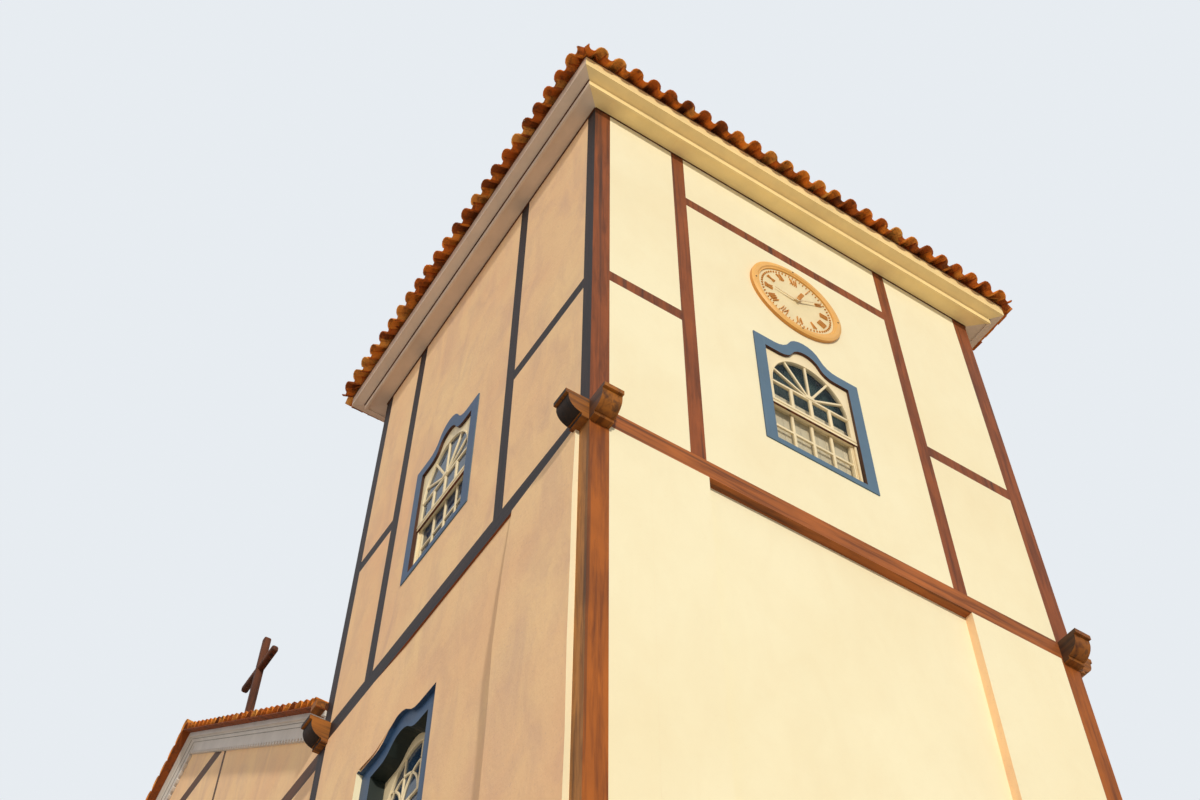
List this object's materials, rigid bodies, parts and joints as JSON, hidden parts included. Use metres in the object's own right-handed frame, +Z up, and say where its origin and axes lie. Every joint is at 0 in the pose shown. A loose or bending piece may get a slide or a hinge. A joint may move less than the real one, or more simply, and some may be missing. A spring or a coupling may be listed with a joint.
{
  "type": "church",
  "caption": "Twin-towered colonial church with half-timbered upper towers, bell-headed windows, gabled front, tiled roofs, ridge cross and a tower clock with two turning hands",
  "frame": {"origin": "middle of the building's plan at ground level", "axes": "+Z up, the front looks along -Y, the clock is on the outer face of the tower on the +X side"},
  "size_m": [21.46, 22.7, 19.5446],
  "materials": {
    "lime_plaster": "rough",
    "brown_timber": "rough",
    "blue_boards": "satin",
    "cream_joinery": "satin",
    "cream_boards": "satin",
    "window_glass": "gloss",
    "clay_tile": "rough",
    "floor_boards": "rough",
    "stone_floor": "rough",
    "weathered_timber": "rough",
    "dial_paint": "satin",
    "hand_paint": "satin"
  },
  "bodies": {
    "church": {"choir_floor": "floor_boards", "clock_dial": "dial_paint", "door_surround": "blue_boards", "facade_wall_over_door": "lime_plaster", "facade_walls": "lime_plaster", "gable_cornice": "cream_joinery", "gable_frame": "brown_timber", "gable_wall": "lime_plaster", "ground_floor": "stone_floor", "left_tower_corner_posts": "brown_timber", "left_tower_cornice": "cream_joinery", "left_tower_cross_beams": "brown_timber", "left_tower_frame": "brown_timber", "left_tower_front_wall": "lime_plaster", "left_tower_inner_wall": "lime_plaster", "left_tower_outer_wall": "lime_plaster", "left_tower_panels": "lime_plaster", "left_tower_rear_wall": "lime_plaster", "left_tower_roof": "clay_tile", "left_tower_side_beams": "brown_timber", "lower_sashes": "cream_joinery", "main_door": "blue_boards", "nave_eaves": "cream_joinery", "nave_rear_wall": "lime_plaster", "nave_roof": "clay_tile", "nave_side_walls": "lime_plaster", "ridge_cross": "weathered_timber", "right_tower_corner_posts": "brown_timber", "right_tower_cornice": "cream_joinery", "right_tower_cross_beams": "brown_timber", "right_tower_frame": "brown_timber", "right_tower_front_wall": "lime_plaster", "right_tower_inner_wall": "lime_plaster", "right_tower_outer_wall": "lime_plaster", "right_tower_panels": "lime_plaster", "right_tower_rear_wall": "lime_plaster", "right_tower_roof": "clay_tile", "right_tower_side_beams": "brown_timber", "tower_floors": "floor_boards", "upper_sashes": "cream_joinery", "window_glass": "window_glass", "window_shutters": "cream_boards", "window_surrounds": "blue_boards"},
    "hour_hand": {"hour_hand": "hand_paint"},
    "minute_hand": {"minute_hand": "hand_paint"}
  },
  "joints": [
    {"name": "minute_hand_turn", "type": "hinge", "parent": "church", "child": "minute_hand", "pos_m": [10.27, -8.326, 15.32], "axis": [-1, 0, 0], "continuous": true},
    {"name": "hour_hand_turn", "type": "hinge", "parent": "church", "child": "hour_hand", "pos_m": [10.27, -8.326, 15.32], "axis": [-1, 0, 0], "continuous": true}
  ],
  "couplings": [
    {"joint": "hour_hand_turn", "follows": "minute_hand_turn", "ratio": 0.083333}
  ]
}
